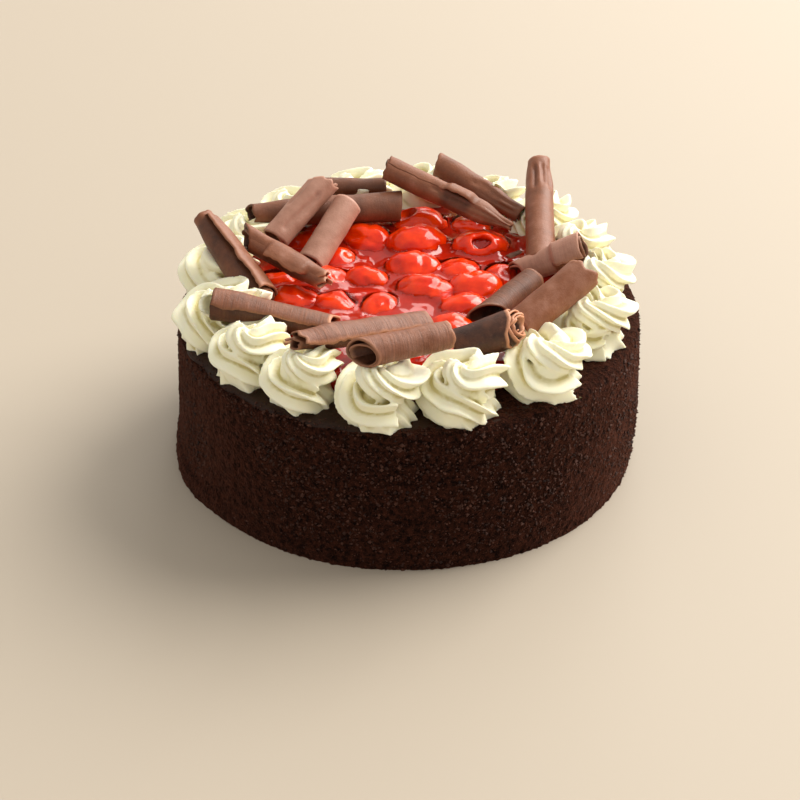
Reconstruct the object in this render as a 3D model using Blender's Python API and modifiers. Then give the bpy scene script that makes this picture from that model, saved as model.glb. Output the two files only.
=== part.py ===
"""Black forest cake: a crumb-coated chocolate cake with a pool of cherries in jelly, a ring of
piped cream rosettes round it, and rolled chocolate curls lying on top.

Metres, +Z up. The origin is the middle of the flat underside, so the cake stands on z = 0.
-Y is the front. Run it with: blender --background --python part.py
"""

import math

import bmesh
import bpy
from mathutils import Matrix, Vector
from mathutils.geometry import intersect_point_line

MM = 0.001
NAME = "black_forest_cake"
GAP = 0.3 * MM  # left between pieces that touch

# Cake
CAKE_HEIGHT = 63 * MM
CAKE_BOTTOM_RADIUS = 100 * MM
CAKE_TOP_RADIUS = 97.7 * MM
CAKE_EDGE = 2.5 * MM  # height and width of the softened rim
CAKE_SIDES = 52

# Rosettes: a star nozzle turned once over each, seen from above counter-clockwise
RING_RADIUS = 83.5 * MM
ROSETTE_ANGLES = (  # piped by hand, so not quite even; 0 is +X
    -162.5, -140.5, -120.5, -97, -74, -47.5, -21, 1.5, 22.5, 42, 62.5, 84.5, 107, 129, 150, 171,
)
ROSETTE_RADIUS = 17 * MM
ROSETTE_HEIGHT = 25 * MM
ROSETTE_RIDGES = 7
ROSETTE_GROOVE = 0.76  # radius in a groove, of the radius on a ridge
ROSETTE_TWIST = 150  # degrees from foot to peak
ROSETTE_FOOT = 0.88  # radius at the foot, of the full radius
ROSETTE_STEPS = (  # share of the height, share of the radius
    (0.12, 0.98), (0.3, 1.0), (0.52, 0.93), (0.74, 0.74), (0.91, 0.45), (1.0, 0.14),
)
PEAK_LEAN = Vector((-1.5, 2, 0)) * MM  # from the middle to the peak, for a rosette at +X

# Jelly and cherries
JELLY_RADIUS = 72 * MM
JELLY_DEPTH = 8 * MM
JELLY_SIDES = 40
POST_SIDES = 12  # of the hollow in the jelly where a rosette stands
CHERRY_HALF = Vector((10.5, 8.2, 8.0)) * MM  # half of a full-sized cherry's length, width, height
CHERRY_LIFT = 1.5 * MM  # of jelly under the lowest point of a cherry
CHERRIES = (  # x, y in mm, share of full size, degrees that its long side is turned
    (7, 54, 1.0, 0), (5, 36, 1.06, 4), (-17, 40, 0.95, -20), (33, 34, 1.0, -12), (-31, 24, 0.82, 15),
    (-34, 6.5, 0.8, 10), (-16.5, 7, 0.8, -15), (3, 16, 0.95, 0), (8, -4, 0.95, -8), (29, -1, 0.95, 5),
    (24, -17, 0.9, 15), (18, -34, 0.85, 0), (-11, -15, 0.75, 60), (-29, -13, 0.78, -10),
    (-47, -10, 0.85, 0), (-54, 7, 0.75, 30), (23, 15, 0.78, 10), (40, 13, 0.65, 40),
    (-45, 38, 0.8, 0), (-36, -33, 0.85, -20), (-11, -36, 0.85, 10), (37, -44, 0.72, 60),
    (0, -53, 0.75, 0), (30, 54, 0.8, -30),
)
PITTED = 4  # the cherry whose stone hole lies open
STONE_HOLE = (3.4 * MM, 1.8 * MM, 14 * MM)  # radius at the mouth, radius inside, length
STONE_LEAN = 38  # degrees that the hole leans to the front

# Curls: sheet chocolate rolled on itself
CURL_SHEET = 1.3 * MM
CURL_PITCH = 1.9 * MM  # from one turn of the roll to the next
CURL_TURNS = 1.3
CURL_AROUND = 12
CURL_INWARD = -1.0  # the sheet's thickness lies inside its outer face
BED_SIDES = 14  # of the hollow that a curl presses into cream or fruit
CURLS = (  # in mm: both ends of the axis, the radius at each; degrees where the roll's edge lies
    ((-86, 18, 96.5), (-60, -16.5, 81), 5.2, 7.2, 60),
    ((-61, 5.5, 90), (-34.5, -10, 82), 5.4, 5.8, 230),
    ((-56, 22.5, 83.5), (-36.5, 41.5, 99), 6.8, 6.8, 300),
    ((-40.5, 14.5, 81), (-26, 38, 92), 6.4, 6.2, 100),
    ((-66.5, 38.5, 87.5), (-1.5, 54.5, 83), 5.0, 6.2, 250),
    ((-36, 68, 86), (-14, 69.5, 85.5), 4.0, 3.5, 200),
    ((-8, 65, 96), (45, 37, 82.5), 5.6, 5.4, 70),
    ((15.5, 80.5, 90), (48, 54, 84), 5.5, 5.5, 120),
    ((57, 21.5, 81), (58.5, 69.5, 96), 6.2, 5.6, 90),
    ((47, 9.5, 76.5), (75.5, 7.5, 87.5), 4.8, 5.2, 30),
    ((32, -28.5, 77), (53, -3.5, 79), 4.8, 4.6, 200),
    ((48.5, -41, 86), (73.5, -23, 94.5), 8.0, 8.0, 160),
    ((19.5, -60, 80.5), (44, -55.5, 87.5), 5.6, 6.2, 250),
    ((-41, -72, 91), (8, -40, 83), 4.6, 4.4, 240),
    ((-16, -84, 93), (18, -70, 91), 6.0, 5.4, 150),
    ((-78, -35.5, 86.5), (-29, -40, 82), 6.4, 4.5, 230),
)
CHIP = ((44.5, 24, 71.25), (50.5, 30, 71.25), 3.8, 3.4, 20)
CHIP_TURNS = 0.4  # it is only bent, and lies on the jelly like a roof tile

COLOURS = {  # linear red, green, blue, and roughness
    "crumb": ((0.035, 0.012, 0.007), 0.85),
    "cream": ((0.85, 0.80, 0.58), 0.45),
    "cherry": ((0.62, 0.02, 0.008), 0.12),
    "jelly": ((0.35, 0.05, 0.03), 0.08),
    "curl": ((0.18, 0.07, 0.04), 0.5),
}


def clear_scene():
    for thing in list(bpy.data.objects):
        bpy.data.objects.remove(thing, do_unlink=True)


def collection(name):
    made = bpy.data.collections.new(name)
    bpy.context.scene.collection.children.link(made)
    return made


def material(name):
    colour, roughness = COLOURS[name]
    made = bpy.data.materials.new(name)
    made.use_nodes = True
    shader = made.node_tree.nodes["Principled BSDF"]
    shader.inputs["Base Color"].default_value = (*colour, 1)
    shader.inputs["Roughness"].default_value = roughness
    shader.inputs["Metallic"].default_value = 0
    return made


def place(name, mesh, group, finish=None, smooth=True):
    """The object that shows this mesh, in its collection."""
    made = bpy.data.objects.new(name, mesh)
    group.objects.link(made)
    if finish:
        mesh.materials.append(finish)
    if smooth:
        mesh.shade_smooth()
        mesh.set_sharp_from_angle(angle=math.radians(50))
    return made


def mesh_from(bm, name):
    """The finished mesh, with its faces turned outwards."""
    bmesh.ops.recalc_face_normals(bm, faces=bm.faces)
    mesh = bpy.data.meshes.new(name)
    bm.to_mesh(mesh)
    bm.free()
    return mesh


def cutter(name, mesh, group):
    made = place(name, mesh, group, smooth=False)
    made.hide_render = True
    made.display_type = "WIRE"
    return made


def cut(piece, tool):
    made = piece.modifiers.new("clear of " + tool.name, "BOOLEAN")
    made.operation = "DIFFERENCE"
    made.solver = "EXACT"
    made.object = tool


def cake_body(group, finish):
    """The cake, turned from its profile."""
    rim = CAKE_TOP_RADIUS - CAKE_EDGE
    profile = (
        (0, CAKE_HEIGHT),
        (rim, CAKE_HEIGHT),
        (CAKE_TOP_RADIUS - 0.3 * CAKE_EDGE, CAKE_HEIGHT - 0.3 * CAKE_EDGE),
        (CAKE_TOP_RADIUS, CAKE_HEIGHT - CAKE_EDGE),
        (CAKE_BOTTOM_RADIUS, 0.05 * CAKE_HEIGHT),
        (CAKE_BOTTOM_RADIUS, 0),
        (0, 0),
    )
    mesh = bpy.data.meshes.new("cake_body")
    points = [(across, 0, up) for across, up in profile]
    mesh.from_pydata(points, [(i, i + 1) for i in range(len(points) - 1)], [])
    cake = place("cake_body", mesh, group, finish, smooth=False)
    turned = cake.modifiers.new("turned", "SCREW")
    turned.steps = CAKE_SIDES
    turned.render_steps = CAKE_SIDES
    turned.use_merge_vertices = True
    turned.merge_threshold = 0.00001
    turned.use_smooth_shade = True
    return cake


def ring_places():
    """Where each rosette stands on the cake, and how wide it can be before it meets the next."""
    turns = [math.radians(angle) for angle in ROSETTE_ANGLES]
    spots = [Vector((math.cos(a), math.sin(a), 0)) * RING_RADIUS for a in turns]
    for i, spot in enumerate(spots):
        room = min((spot - spots[i - 1]).length, (spot - spots[(i + 1) % len(spots)]).length) / 2
        yield spot, turns[i], min(ROSETTE_RADIUS, room - GAP)


def rosette_mesh(name, radius):
    """A star drawn up from its foot step by step, each step turned further and drawn in."""
    bm = bmesh.new()
    bmesh.ops.create_circle(bm, cap_ends=True, segments=2 * ROSETTE_RIDGES, radius=1)
    bm.faces.ensure_lookup_table()
    foot = top = bm.faces[0]
    star = [v.co.copy() for v in foot.verts]
    for i in range(1, len(star), 2):
        star[i] *= ROSETTE_GROOVE
    for vert, point in zip(foot.verts, star):
        vert.co = point * (radius * ROSETTE_FOOT)
    for up, share in ROSETTE_STEPS:
        made = bmesh.ops.extrude_face_region(bm, geom=[top])["geom"]
        if top is not foot:
            bmesh.ops.delete(bm, geom=[top], context="FACES_ONLY")
        top = [f for f in made if isinstance(f, bmesh.types.BMFace)][0]
        turn = Matrix.Rotation(math.radians(-ROSETTE_TWIST) * up, 3, "Z")
        middle = PEAK_LEAN * up**2 + Vector((0, 0, ROSETTE_HEIGHT * up))
        for vert, point in zip(top.verts, star):
            vert.co = middle + turn @ point * (radius * share)
    return mesh_from(bm, name)


def rosettes(group, finish):
    """Every rosette, turned so that all lean the same way round the ring."""
    made = []
    for number, (spot, facing, radius) in enumerate(ring_places(), 1):
        name = f"rosette_{number:02d}"
        rosette = place(name, rosette_mesh(name, radius), group, finish)
        rosette.location = spot + Vector((0, 0, CAKE_HEIGHT + GAP))
        rosette.rotation_euler = (0, 0, facing)
        made.append((rosette, radius))
    return made


def cherries(group, finish):
    """Every cherry, lying on the cake with its long side turned its own way."""
    made = []
    for number, (x, y, size, turn) in enumerate(CHERRIES, 1):
        name = f"cherry_{number:02d}"
        bm = bmesh.new()
        bmesh.ops.create_icosphere(bm, subdivisions=2, radius=1)
        mesh = mesh_from(bm, name)
        half = CHERRY_HALF * size
        for vert in mesh.vertices:
            vert.co = Vector((vert.co.x * half.x, vert.co.y * half.y, vert.co.z * half.z))
        cherry = place(name, mesh, group, finish)
        cherry.rotation_euler = (0, 0, math.radians(turn))
        cherry.location = (x * MM, y * MM, CAKE_HEIGHT + CHERRY_LIFT + half.z)
        made.append(cherry)
    return made


def hollow_for(thing, group):
    """A copy of a piece, larger by the gap, that cuts its neighbours."""
    mesh = thing.data.copy()
    mesh.materials.clear()
    for vert, normal in zip(mesh.vertices, [v.normal.copy() for v in mesh.vertices]):
        vert.co += normal * GAP
    made = cutter(thing.name + "_hollow", mesh, group)
    made.location = thing.location
    made.rotation_euler = thing.rotation_euler
    return made


def jelly(group, finish):
    """The pool up to its level."""
    bm = bmesh.new()
    bmesh.ops.create_cone(
        bm, cap_ends=True, segments=JELLY_SIDES, radius1=JELLY_RADIUS, radius2=JELLY_RADIUS,
        depth=JELLY_DEPTH,
    )
    pool = place("jelly", mesh_from(bm, "jelly"), group, finish)
    pool.location.z = CAKE_HEIGHT + GAP + JELLY_DEPTH / 2
    return pool


def post(name, spot, clear, group):
    """An upright cutter for the jelly, where a rosette stands in it: its flats are this far out."""
    radius = clear / math.cos(math.pi / POST_SIDES)
    bm = bmesh.new()
    bmesh.ops.create_cone(
        bm, cap_ends=True, segments=POST_SIDES, radius1=radius, radius2=radius,
        depth=4 * JELLY_DEPTH,
    )
    made = cutter(name, mesh_from(bm, name), group)
    made.location = spot
    return made


def stone_hole(cherry, group):
    """What opens the stone hole: a tapered plug that leans to the front."""
    mouth, inside, length = STONE_HOLE
    bm = bmesh.new()
    bmesh.ops.create_cone(
        bm, cap_ends=True, segments=10, radius1=inside, radius2=mouth, depth=length
    )
    made = cutter("stone_hole", mesh_from(bm, "stone_hole"), group)
    made.rotation_euler = (math.radians(STONE_LEAN), 0, 0)
    out = Vector((0, -math.sin(made.rotation_euler.x), math.cos(made.rotation_euler.x)))
    made.location = cherry.location + out * (0.4 * length)
    return made


def curl_size(curl):
    """A curl's ends, and its radius at each, in metres."""
    start, end, first, last, _ = curl
    return Vector(start) * MM, Vector(end) * MM, first * MM, last * MM


def lay(thing, start, end):
    """Puts a piece made along its own Z between two points, its own Y as near upright as it goes."""
    thing.location = (start + end) / 2
    thing.rotation_mode = "QUATERNION"
    thing.rotation_quaternion = (end - start).to_track_quat("Z", "Y")


def curl_mesh(name, curl, turns):
    """A flat sheet rolled round Z, its radius going evenly from one end to the other."""
    start, end, first, last = curl_size(curl)
    edge = math.radians(curl[-1])
    bm = bmesh.new()
    bmesh.ops.create_grid(bm, x_segments=CURL_AROUND, y_segments=1, size=0.5)
    for vert in bm.verts:
        rolled = (vert.co.x + 0.5) * turns
        radius = first + (last - first) * (vert.co.y + 0.5) - CURL_PITCH * rolled
        turn = edge + rolled * 2 * math.pi
        length = vert.co.y * (end - start).length
        vert.co = (radius * math.cos(turn), radius * math.sin(turn), length)
    mesh = bpy.data.meshes.new(name)
    bm.to_mesh(mesh)
    bm.free()
    return mesh


def curl_object(name, curl, turns, group, finish):
    """The rolled sheet with its thickness, laid in its place."""
    made = place(name, curl_mesh(name, curl, turns), group, finish)
    sheet = made.modifiers.new("sheet", "SOLIDIFY")
    sheet.thickness = CURL_SHEET
    sheet.offset = CURL_INWARD
    lay(made, *curl_size(curl)[:2])
    return made


def curl_bed(name, curl, group):
    """A round bar along the curl, larger by the gap, that presses its bed into what it lies on."""
    start, end, first, last = curl_size(curl)
    bm = bmesh.new()
    bmesh.ops.create_cone(
        bm, cap_ends=True, segments=BED_SIDES, radius1=first + 2 * GAP, radius2=last + 2 * GAP,
        depth=(end - start).length + 4 * GAP,
    )
    made = cutter(name + "_bed", mesh_from(bm, name), group)
    lay(made, start, end)
    return made


def reaches(curl, spot, radius):
    """Whether a curl comes within this radius of a spot, seen from above."""
    start, end, first, last = curl_size(curl)
    nearest, share = intersect_point_line(spot.xy, start.xy, end.xy)
    if share < 0:
        nearest = start.xy
    elif share > 1:
        nearest = end.xy
    return (nearest.xy - spot.xy).length < radius + max(first, last)


def main():
    clear_scene()
    cake = collection(NAME)
    cutters = collection("cutters")
    finishes = {name: material(name) for name in COLOURS}

    cake_body(cake, finishes["crumb"])
    pool = jelly(cake, finishes["jelly"])

    fruit = cherries(cake, finishes["cherry"])
    for cherry in fruit:
        cut(pool, hollow_for(cherry, cutters))

    beds = []
    for number, curl in enumerate(CURLS, 1):
        name = f"curl_{number:02d}"
        curl_object(name, curl, CURL_TURNS, cake, finishes["curl"])
        beds.append(curl_bed(name, curl, cutters))
    curl_object("curl_chip", CHIP, CHIP_TURNS, cake, finishes["curl"])

    toppings = rosettes(cake, finishes["cream"])
    for rosette, radius in toppings:
        cut(pool, post(rosette.name + "_stand", rosette.location, radius + GAP, cutters))
    cut(fruit[PITTED - 1], stone_hole(fruit[PITTED - 1], cutters))
    toppings += [(cherry, CHERRY_HALF.x) for cherry in fruit]
    for topping, radius in toppings:
        for curl, bed in zip(CURLS, beds):
            if reaches(curl, topping.location, radius):
                cut(topping, bed)


main()
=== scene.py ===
"""The looks of a black forest cake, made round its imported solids: a crumb coat and a glaze, piped cream
rosettes, cherries in red jelly, and rolled chocolate curls.

Metres, +Z up; -Y is the front. Every piece takes its place from the frame's nodes.
"""

import itertools
import math

import bmesh
import bpy
import numpy as np
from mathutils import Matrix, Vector
from mathutils.bvhtree import BVHTree


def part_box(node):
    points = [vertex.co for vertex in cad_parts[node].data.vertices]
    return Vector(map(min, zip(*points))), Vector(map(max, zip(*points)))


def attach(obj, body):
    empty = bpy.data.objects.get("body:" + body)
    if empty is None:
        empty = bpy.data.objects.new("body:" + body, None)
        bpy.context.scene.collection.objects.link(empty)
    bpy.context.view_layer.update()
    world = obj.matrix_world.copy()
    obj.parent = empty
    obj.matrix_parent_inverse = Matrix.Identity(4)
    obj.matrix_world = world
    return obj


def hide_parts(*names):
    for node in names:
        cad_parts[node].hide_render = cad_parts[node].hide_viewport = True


MM = 0.001

# Crumb coat
CRUMB_CELL = 0.8 * MM  # from one point of the coat's mesh to the next
CRUMB_GRAIN = 1.4 * MM
CRUMB_CLUMP = 4.5 * MM
CRUMB_COUNT = 11000
RIM_WIDTH = 12 * MM  # of the top that the coat reaches over
COAT_ROWS = 105
COAT_LEAN = 1.6 * MM  # thicker on the right and thinner on the left
LEDGE_PLACE = -36 * MM  # along Y, of the low ledge at the left foot
LEDGE_WIDTH = 22 * MM
LEDGE_HEIGHT = 9 * MM
LEDGE_DEPTH = 2.2 * MM

# Glaze on the top
GLAZE_EDGE = 95 * MM
GLAZE_INNER = 60 * MM  # under the jelly
GLAZE_LEVEL = 0.35 * MM  # above the top

# Piped cream
ROPE_RADIUS = 9.4 * MM
LOOP_RADIUS = 8.6 * MM
ROPE_LENGTH = 68 * MM
FOOT_RADIUS = 15.6 * MM
FOOT_HEIGHT = 9 * MM
FOOT_SUNK = 0.8 * MM
CREAM_HEIGHT = 25.6 * MM
CREAM_RADIUS = 17 * MM  # of a rosette before it is fitted to its spot
CREAM_GAP = 0.3 * MM  # to a curl
FOLD_ROUNDS = 16  # of softening, to tell the folds from the crests for the painted shade in the folds
CREAM_VOXEL = 0.62 * MM
CREAM_KEPT = 0.5  # of the faces of the fine skin

# Cherries and jelly
CHERRY_VOXEL = 0.7 * MM
CHERRY_SWELL = (1.34, 1.34, 1.08)  # soft and full of juice
JELLY_CELL = 0.8 * MM
PITTED = 4  # the cherry whose stone hole lies open
STONE_LEAN = math.radians(38)  # of the hole, to the front
CHERRY_GAP = 1.5 * MM  # to a curl
JELLY_RISE = 2.8 * MM  # of the jelly between the cherries, over its solid
JELLY_GAP = 1.9 * MM  # to a curl
JELLY_ROUNDS = 18  # of softening
JELLY_CLEAR = 6.5 * MM  # the depth at which nothing shows through

# Curls: angles are degrees round the roll, 0 on top and 90 in front
SHEET_THICKNESS = 0.8 * MM
SHEET_CELL = 0.95 * MM
AROUND_CELLS = 40  # of a whole turn
SKIN = 1.9 * MM  # from a solid's radius to the outside of its roll
TAPER_REACH = 16 * MM

# Studio
FLOOR_REACH = 4.0
KEY_POWER = 304
BACK_POWER = 98
ROOM_STRENGTH = 0.69
LAMP_SIZE = 3.7
LAMP_COLOUR = (1.0, 0.965, 0.91)
CAMERA_PLACE = (0, -0.7325, 0.49968)
CAMERA_AIM = (-0.00233, 0, 0.01594)
CAMERA_LENS = 90  # mm


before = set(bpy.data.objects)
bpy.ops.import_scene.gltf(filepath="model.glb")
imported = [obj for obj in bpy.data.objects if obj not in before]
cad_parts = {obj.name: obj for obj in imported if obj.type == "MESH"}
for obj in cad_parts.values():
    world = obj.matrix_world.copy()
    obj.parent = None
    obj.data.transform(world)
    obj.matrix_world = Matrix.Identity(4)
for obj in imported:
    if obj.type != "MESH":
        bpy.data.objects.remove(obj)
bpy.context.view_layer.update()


# ---------------------------------------------------------------- numbers over points


def hashed(cells, seed):
    """A steady number from 0 to 1 for each cell of a grid."""
    n = cells @ np.array([73856093, 19349663, 83492791]) + seed * 1013904223
    n = ((n ^ (n >> 13)) * 1274126177) & 0xFFFFFFFF
    n = ((n ^ (n >> 15)) * 2246822519) & 0xFFFFFFFF
    return ((n ^ (n >> 13)) & 0xFFFFFF) / 0xFFFFFF


def uneven(points, size, seed=0):
    """Soft unevenness from -1 to 1, with humps about this size."""
    scaled = points / size
    base = np.floor(scaled).astype(np.int64)
    part = scaled - base
    part = part * part * (3 - 2 * part)
    total = 0
    for corner in itertools.product((0, 1), repeat=3):
        share = np.prod(np.where(corner, part, 1 - part), axis=-1)
        total = total + share * hashed(base + np.array(corner), seed)
    return 2 * total - 1


def grains(points, size, seed=0):
    """How deep each point lies in its grain, 0 at the grain's border and 1 in its middle, and the
    grain's own number from 0 to 1."""
    scaled = points / size
    base = np.floor(scaled).astype(np.int64)
    nearest = np.full(len(points), 9.0)
    number = np.zeros(len(points))
    for step in itertools.product((-1, 0, 1), repeat=3):
        cell = base + np.array(step)
        spot = cell + np.stack([hashed(cell, seed + k) for k in range(3)], axis=-1)
        away = np.linalg.norm(scaled - spot, axis=-1)
        closer = away < nearest
        nearest[closer] = away[closer]
        number[closer] = hashed(cell, seed + 3)[closer]
    return np.clip(1 - nearest, 0, 1), number


def ease(x):
    """0 below 0 and 1 above 1, with a soft rise between."""
    x = np.clip(x, 0, 1)
    return x * x * (3 - 2 * x)


# ---------------------------------------------------------------- meshes


def grid_faces(rows, columns, closed=False, first=0):
    """The quads of a grid of points; closed joins its last column to its first."""
    index = np.arange(rows * columns).reshape(rows, columns) + first
    if closed:
        index = np.hstack([index, index[:, :1]])
    corners = (index[:-1, :-1], index[:-1, 1:], index[1:, 1:], index[1:, :-1])
    return np.stack(corners, axis=-1).reshape(-1, 4).tolist()


def capped_faces(rows, columns):
    """The faces of a grid that is closed round and capped by two more points, one at each end."""
    faces = grid_faces(rows, columns, closed=True)
    start = rows * columns
    last = start - columns
    for i in range(columns):
        j = (i + 1) % columns
        faces.append((start, j, i))
        faces.append((start + 1, last + i, last + j))
    return faces


def mesh_of(name, points, faces):
    """A mesh with its faces turned outwards."""
    mesh = bpy.data.meshes.new(name)
    mesh.from_pydata(points.tolist(), [], faces)
    bm = bmesh.new()
    bm.from_mesh(mesh)
    bmesh.ops.recalc_face_normals(bm, faces=bm.faces)
    bm.to_mesh(mesh)
    bm.free()
    return mesh


def points_of(mesh):
    flat = np.zeros(len(mesh.vertices) * 3)
    mesh.vertices.foreach_get("co", flat)
    return flat.reshape(-1, 3)


def normals_of(mesh):
    flat = np.zeros(len(mesh.vertices) * 3)
    mesh.vertex_normals.foreach_get("vector", flat)
    return flat.reshape(-1, 3)


def set_points(mesh, points):
    mesh.vertices.foreach_set("co", points.ravel())
    mesh.update()


def set_share(mesh, name, values):
    """Keep a number for each point of the mesh, which a finish can read."""
    made = mesh.attributes.new(name, "FLOAT", "POINT")
    made.data.foreach_set("value", np.asarray(values, np.float32).ravel())


def show(name, mesh, finish, slot, *nodes, smooth=True):
    """The piece that shows this mesh, standing for these nodes of the frame."""
    made = bpy.data.objects.new(name, mesh)
    bpy.context.scene.collection.objects.link(made)
    mesh.materials.clear()
    mesh.materials.append(finish.material)
    if smooth:
        mesh.shade_smooth()
    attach(made, "root")
    if nodes:
        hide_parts(*nodes)
    return made


def drop_strays(mesh):
    """Leave the largest part of the mesh alone, without the loose bits that a new skin can shed."""
    bm = bmesh.new()
    bm.from_mesh(mesh)
    left = set(bm.verts)
    parts = []
    while left:
        part = []
        front = [left.pop()]
        while front:
            vert = front.pop()
            part.append(vert)
            near = {e.other_vert(vert) for e in vert.link_edges} & left
            left -= near
            front += near
        parts.append(part)
    parts.sort(key=len)
    bmesh.ops.delete(bm, geom=[v for part in parts[:-1] for v in part], context="VERTS")
    bm.to_mesh(mesh)
    bm.free()


def remeshed(mesh, voxel, rounds, kept=1.0):
    """The outer skin of the mesh in even small faces, smoothed this many rounds and thinned out to a
    share of its faces."""
    made = bpy.data.objects.new("skin", mesh)
    bpy.context.scene.collection.objects.link(made)
    skin = made.modifiers.new("skin", "REMESH")
    skin.mode = "VOXEL"
    skin.voxel_size = voxel
    soft = made.modifiers.new("soft", "SMOOTH")
    soft.factor = 0.5
    soft.iterations = rounds
    if kept < 1:
        thin = made.modifiers.new("thin", "DECIMATE")
        thin.ratio = kept
    graph = bpy.context.evaluated_depsgraph_get()
    result = bpy.data.meshes.new_from_object(made.evaluated_get(graph))
    bpy.data.objects.remove(made)
    bpy.data.meshes.remove(mesh)
    drop_strays(result)
    return result


# ---------------------------------------------------------------- places in the frame


def node_points(node):
    return points_of(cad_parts[node].data)


def nodes_named(start):
    return sorted(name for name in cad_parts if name.startswith(start))


class Roll:
    """Where a curl lies: its axis from its left end to its right end, and its radius at each."""

    def __init__(self, node):
        points = node_points(node)
        middle = points.mean(0)
        along = np.linalg.svd(points - middle, full_matrices=False)[2][0]
        along = along * np.sign(along[0])
        reach = (points - middle) @ along
        self.start, self.start_radius = self.circle(points[reach < 0], along)
        self.end, self.end_radius = self.circle(points[reach >= 0], along)
        self.along = (self.end - self.start) / np.linalg.norm(self.end - self.start)
        self.length = np.linalg.norm(self.end - self.start)
        front = np.cross(self.along, (0, 0, 1))
        front /= np.linalg.norm(front)
        self.front = front if front[1] < 0 else -front
        top = np.cross(self.along, self.front)
        self.top = top if top[2] > 0 else -top

    @staticmethod
    def circle(ring, along):
        """The middle and the mean radius of the outline of an end ring, seen along the axis."""
        side = np.cross(along, (0, 0, 1))
        side /= np.linalg.norm(side)
        up = np.cross(side, along)
        turns = np.linspace(0, 2 * math.pi, 72, endpoint=False)
        looks = np.outer(np.cos(turns), side) + np.outer(np.sin(turns), up)
        reach = (ring @ looks.T).max(0)
        middle = 2 * (reach[:, None] * looks).mean(0)
        radius = (reach - looks @ middle).mean()
        return middle + along * (ring @ along).mean(), radius

    def place(self, share, turn, radius):
        """Points at these shares of the length, turns in radians and distances from the axis."""
        spot = self.start + np.multiply.outer(share, self.end - self.start)
        out = np.multiply.outer(np.cos(turn), self.top) + np.multiply.outer(np.sin(turn), self.front)
        return spot + radius[..., None] * out

    def radius_at(self, share):
        """The radius at these shares of the length."""
        return self.start_radius + (self.end_radius - self.start_radius) * np.clip(share, 0, 1)

    def pressed(self, points, gap):
        """The points lowered where they would stand inside the roll."""
        plan = self.end[:2] - self.start[:2]
        length = np.linalg.norm(plan)
        way = plan / length
        off = points[:, :2] - self.start[:2]
        share = off @ way / length
        aside = off @ np.array([-way[1], way[0]])
        radius = self.radius_at(share) + gap
        inside = (np.abs(share - 0.5) < 0.55) & (np.abs(aside) < radius)
        height = self.start[2] + (self.end[2] - self.start[2]) * share
        under = height - np.sqrt(np.maximum(radius**2 - aside**2, 0))
        points[inside, 2] = np.minimum(points[inside, 2], under[inside])
        return points

    def keep_clear(self, points, gap):
        """Move the points that lie inside the roll straight out of it."""
        share = np.clip((points - self.start) @ self.along / self.length, 0, 1)
        nearest = self.start + share[:, None] * (self.end - self.start)
        away = points - nearest
        distance = np.linalg.norm(away, axis=1)
        radius = self.radius_at(share) + gap
        inside = distance < radius
        away[inside] *= (radius[inside] / np.maximum(distance[inside], 1e-6))[:, None]
        return nearest + away


cake_points = node_points("cake_body")
CAKE_TOP = cake_points[:, 2].max()
CAKE_RADIUS = cake_points[:, 0].max()
JELLY_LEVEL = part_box("jelly")[1].z
ROLLS = {node: Roll(node) for node in nodes_named("curl_") if node != "curl_chip"}


# ---------------------------------------------------------------- finishes


class Wire:
    """A socket of a finish. Arithmetic on it adds Math nodes."""

    def __init__(self, finish, socket):
        self.finish = finish
        self.socket = socket

    def math(self, operation, first, second=0.0):
        return self.finish.node("Math", {0: first, 1: second}, operation=operation)

    def __add__(self, other):
        return self.math("ADD", self, other)

    def __mul__(self, other):
        return self.math("MULTIPLY", self, other)

    def __sub__(self, other):
        return self.math("SUBTRACT", self, other)

    def __rsub__(self, other):
        return self.math("SUBTRACT", other, self)

    __radd__ = __add__
    __rmul__ = __mul__


class Finish:
    """A material built on one Principled shader."""

    def __init__(self, name, **constants):
        self.material = bpy.data.materials.new(name)
        self.material.use_nodes = True
        self.tree = self.material.node_tree
        self.shader = self.tree.nodes["Principled BSDF"]
        for socket, value in constants.items():
            self.shader.inputs[socket.replace("_", " ")].default_value = value

    def feed(self, socket, value):
        if isinstance(value, Wire):
            self.tree.links.new(value.socket, socket)
        else:
            socket.default_value = value

    def node(self, kind, values=None, output=0, stops=None, **settings):
        """A node of this kind: its settings first, then the values or links of its sockets."""
        made = self.tree.nodes.new("ShaderNode" + kind)
        for name, value in settings.items():
            setattr(made, name, value)
        if stops:
            ramp = made.color_ramp.elements
            while len(ramp) < len(stops):
                ramp.new(1.0)
            for element, (place, colour) in zip(ramp, stops):
                element.position = place
                element.color = (*colour, 1)
        for name, value in (values or {}).items():
            self.feed(made.inputs[name], value)
        return Wire(self, made.outputs[output])

    def noise(self, size, detail=3.0, rough=0.5):
        """Cloudy noise about this size over the object's own coordinates."""
        where = self.node("TexCoord", output="Object")
        values = {"Vector": where, "Scale": 1 / size, "Detail": detail, "Roughness": rough}
        return self.node("TexNoise", values)

    def between(self, value, low, high):
        """0 where the value is at low, 1 where it is at high, and straight between."""
        return self.node("MapRange", {"Value": value, "From Min": low, "From Max": high})

    def mix(self, share, first, second):
        """From the first colour to the second as the share goes from 0 to 1."""
        return self.node("Mix", {0: share, 6: first, 7: second}, output=2, data_type="RGBA")

    def share(self, name):
        """The number that the mesh keeps for each of its points."""
        return self.node("Attribute", output="Fac", attribute_name=name)

    def relief(self, height, depth):
        """A bump of this depth where the height goes from 0 to 1."""
        return self.node("Bump", {"Height": height, "Distance": depth})

    def paint(self, **wires):
        for socket, wire in wires.items():
            self.feed(self.shader.inputs[socket.replace("_", " ")], wire)
        return self


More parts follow.
